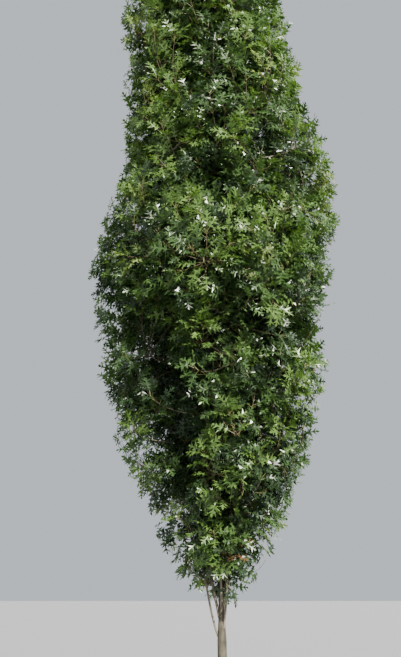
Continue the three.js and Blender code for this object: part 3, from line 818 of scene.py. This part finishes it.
def leaf_places():
    """Stalk root, blade root, tip direction, upper side, length, shoot number and order of every leaf."""
    rows = []
    shoots = np.arange(len(shoot_paths))
    tips = shoot_paths[:, -1]
    ends = unit(shoot_paths[:, -1] - shoot_paths[:, -2])
    lengths = np.linalg.norm(shoot_paths[:, -1] - shoot_paths[:, 0], axis=1)
    to_light = unit(outwards(tips) * TO_LIGHT[0] + np.array([0, 0, TO_LIGHT[1]]))
    hanging = np.interp(tips[:, 2], *zip(*HANGING))
    for j in range(LEAVES_AT_TIP + LEAVES_BELOW):
        if j < LEAVES_AT_TIP:
            back = ROSETTE_BACK[0] + ROSETTE_BACK[1] * j
            opening = ROSETTE_OPEN[0] + ROSETTE_OPEN[1] * j
        else:
            back = BELOW_BACK[0] + BELOW_BACK[1] * (j - LEAVES_AT_TIP + 1)
            opening = BELOW_OPEN
        back = back * (BACK_SIZES[0] + BACK_SIZES[1] * chance(shoots, 21, j))
        at = tips - ends * np.minimum(back, MOST_BACK * lengths)[:, None]
        opening = np.radians(opening + UNEVEN_ANGLE * (chance(shoots, 22, j) - 0.5))
        off_turn = UNEVEN_ANGLE * (chance(shoots, 24, j) - 0.5)
        turn = np.radians(GOLDEN_ANGLE * j + 360 * chance(shoots, 23) + off_turn)
        stalk = opened(ends, opening, turn)
        random = np.stack([chance(shoots, 30 + c, j) - 0.5 for c in range(3)], axis=-1)
        droop = hanging + UNEVEN_HANGING * (chance(shoots, 25, j) - 0.5)
        upper = unit(to_light + random[:, [1, 2, 0]] * UNEVEN_SIDE)
        along = stalk - np.array([0, 0, 1]) * droop[:, None] + random * UNEVEN_WAY
        along = unit(along - upper * FLATTER * np.sum(upper * along, axis=1, keepdims=True))
        upper = unit(upper - along * np.sum(upper * along, axis=1, keepdims=True))
        size = LEAF_LENGTH * (LEAF_SIZES[0] + LEAF_SIZES[1] * chance(shoots, 26, j))
        petiole = PETIOLE_LENGTH * (PETIOLE_SIZES[0] + PETIOLE_SIZES[1] * chance(shoots, 27, j))
        root = at + stalk * petiole[:, None]
        rows.append((at, root, along, upper, size, shoots, np.full(len(shoots), j)))
    return [np.concatenate([row[c] for row in rows]) for c in range(7)]


at, root, along, upper, size, shoot, order = leaf_places()
far_tip = root + along * size[:, None]
flank = np.cross(upper, along) * (BLADE_WIDEST[1] * size)[:, None]
middle_place = root + along * (BLADE_WIDEST[0] * size)[:, None]
spread = [share(p) for p in (far_tip, middle_place + flank, middle_place - flank, root)]
low = np.minimum(far_tip[:, 2], middle_place[:, 2])
kept = (np.max(spread, axis=0) < OUTER_LIMIT) & (low > OUTLINE[0, 0])
aside = middle_place - leader_at(middle_place[:, 2])
in_front = (aside[:, 1] < FRONT_FROM) & (np.abs(aside[:, 0]) < OPEN_FOOT[1])
kept &= (middle_place[:, 2] > OPEN_FOOT[0]) | ~in_front | (chance(shoot, 43, order) < FOOT_LEAVES)
rosette_of = shoot[kept & (order < LEAVES_AT_TIP)]
leafy = np.bincount(rosette_of, minlength=len(shoot_paths)) >= FEWEST_LEAVES
kept &= leafy[shoot]
at, root, along, upper = at[kept], root[kept], along[kept], upper[kept]
size, shoot, order = size[kept], shoot[kept], order[kept]

# paler holds the painted light and painted shade by height, with young growth at the top, that moves the
# kinds' shares from the dark ends to the pale ones.
paler = np.interp(shoot_ends[:, 2], *zip(*PAINTED_LIGHT_AND_YOUTH_BY_HEIGHT))
bounds_dark = np.cumsum([kind[2] for kind in LEAF_KINDS])
bounds_pale = np.cumsum([kind[3] for kind in LEAF_KINDS])
inward = shoot_ends - leader_at(shoot_ends[:, 2])
shade = hollow(shoot_ends[:, 2], np.arctan2(inward[:, 1], inward[:, 0]))
inner = np.minimum(shoot_layer, DARKEST_LAYER)
# The draw shrinks inwards and in the hollows, so leaves there take darker kinds: painted shade, besides the
# darker green of shade leaves.
draw = chance(number, 51, 7) * (1 - INNER_PAINTED_SHADE * inner) * (1 - HOLLOW_PAINTED_SHADE * shade)
shoot_kind = np.zeros(len(number), dtype=int)
for k in range(len(LEAF_KINDS) - 1):
    edge = bounds_dark[k] + (bounds_pale[k] - bounds_dark[k]) * paler
    shoot_kind[draw > edge] = k + 1
leaf_kind = shoot_kind[shoot]
turned_brown = (chance(shoot, 52) < RUSSET_SHOOTS) & (order > LEAVES_AT_TIP + 1)
leaf_kind[turned_brown] = len(LEAF_KINDS) - 1
inner_shapes = len(LEAF_SHAPES) - OUTER_SHAPES
outer_shape = (chance(shoot, 61, order) * OUTER_SHAPES).astype(int)
inner_shape = OUTER_SHAPES + (chance(shoot, 62, order) * inner_shapes).astype(int)
leaf_shape_of = np.where(shoot_layer[shoot] < TOOTHED_LAYERS, outer_shape, inner_shape)
turned = np.stack([along, np.cross(upper, along), upper], axis=1) * size[:, None, None]
triangle_counts = np.array([len(triangles) for _, triangles in LEAF_SHAPES])


def blades(leaves):
    """Vertices and faces of the leaves with these numbers."""
    verts, faces, start = [], [], 0
    for s, (shape, triangles) in enumerate(LEAF_SHAPES):
        pick = leaves[leaf_shape_of[leaves] == s]
        placed = np.einsum("vi,nij->nvj", shape, turned[pick]) + root[pick][:, None]
        verts.append(placed.reshape(-1, 3))
        offsets = start + np.arange(len(pick)) * len(shape)
        faces.append((triangles[None] + offsets[:, None, None]).reshape(-1, 3))
        start += len(pick) * len(shape)
    return np.concatenate(verts), np.concatenate(faces)


# Pieces

foliage_nodes = sorted(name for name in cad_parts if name.startswith("foliage"))
bough_nodes = sorted(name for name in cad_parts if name.startswith("bough"))


def dressed(name, arrays, material, replaced, smooth=True):
    """A piece from vertices and faces that stands for nodes of the part."""
    piece = mesh_object(name, *arrays, material, smooth)
    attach(piece, "root")
    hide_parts(*replaced)


for k, (kind, colour, _, _) in enumerate(LEAF_KINDS):
    material = leaf_material(f"leaf_{kind}", colour)
    leaves = np.flatnonzero(leaf_kind == k)
    leaves = leaves[np.argsort(root[leaves, 2])]
    parts = math.ceil(triangle_counts[leaf_shape_of[leaves]].sum() / MOST_TRIANGLES)
    for p, some in enumerate(np.array_split(leaves, parts)):
        dressed(f"leaves_{kind}_{p + 1}", blades(some), material, foliage_nodes, smooth=False)

young_wood = bark_material("young_wood", *YOUNG_WOOD)
stalk_skin = plain_material("leaf_stalk", STALK_COLOUR, STALK_ROUGHNESS)
stalks = ribbons(at, root + along * (PETIOLE_INTO * size)[:, None], upper, PETIOLE_RADIUS)
dressed("stalks", stalks, stalk_skin, foliage_nodes, smooth=False)

shoots = tapering(shoot_paths[leafy], SHOOT_RADIUS, SHOOT_TIP_RADIUS, SHOOT_SIDES, closed=False)
dressed("shoots", shoots, young_wood, foliage_nodes)

# Limb bark with painted light: paler to stand for sun on limbs in the leaves' shade.
limb_bark_painted_light = bark_material("limb_bark_painted_light", *LIMB_BARK_PAINTED_LIGHT)
twig_verts, twig_faces = tapering(twig_paths, TWIG_RADIUS, TWIG_TIP_RADIUS, TWIG_SIDES)
stem_verts, stem_faces = limbs(stem_paths, stem_radii, STEM_SIDES)
twigs = np.concatenate([twig_verts, stem_verts]), np.concatenate([twig_faces, stem_faces + len(twig_verts)])
dressed("twigs", twigs, limb_bark_painted_light, foliage_nodes)
dressed("boughs", limbs(bough_paths, bough_radii, BOUGH_SIDES), limb_bark_painted_light, bough_nodes)
dressed("trunk_bark", trunk_mesh(), bark_material("trunk_bark", *TRUNK_BARK), ["trunk"])


# Floor, light and camera

def studio():
    """The floor, the room's light, the suns and the camera."""
    corners = [(-1, -1), (1, -1), (1, 1), (-1, 1)]
    verts = np.array([(x * FLOOR_HALF, y * FLOOR_HALF, -FLOOR_BELOW) for x, y in corners])
    floor_material = plain_material("floor", FLOOR_COLOUR, FLOOR_ROUGHNESS)
    floor = mesh_object("floor", verts, np.array([(0, 1, 2), (0, 2, 3)]), floor_material)

    world = bpy.data.worlds.new("studio")
    world.use_nodes = True
    world.node_tree.nodes["Background"].inputs["Color"].default_value = (*ROOM_COLOUR, 1)
    world.node_tree.nodes["Background"].inputs["Strength"].default_value = ROOM_STRENGTH
    bpy.context.scene.world = world

    for name, energy, width, colour, way in SUNS:
        sun = bpy.data.lights.new(name, "SUN")
        sun.energy = energy
        sun.angle = math.radians(width)
        sun.color = colour
        lamp = bpy.data.objects.new(name, sun)
        way = unit(np.array(way))
        lamp.rotation_euler = (math.acos(-way[2]), 0, math.atan2(way[1], way[0]) - math.pi / 2)
        bpy.context.scene.collection.objects.link(lamp)

    lens = bpy.data.cameras.new("camera")
    lens.sensor_width = SENSOR
    lens.lens = SENSOR * FOCAL_PIXELS / PICTURE_HEIGHT
    lens.clip_end = FAR_CLIP
    camera = bpy.data.objects.new("camera", lens)
    camera.location = CAMERA_PLACE
    camera.rotation_euler = (math.radians(90 + CAMERA_TILT), 0, 0)
    bpy.context.scene.collection.objects.link(camera)
    bpy.context.scene.camera = camera


studio()

bpy.context.view_layer.update()
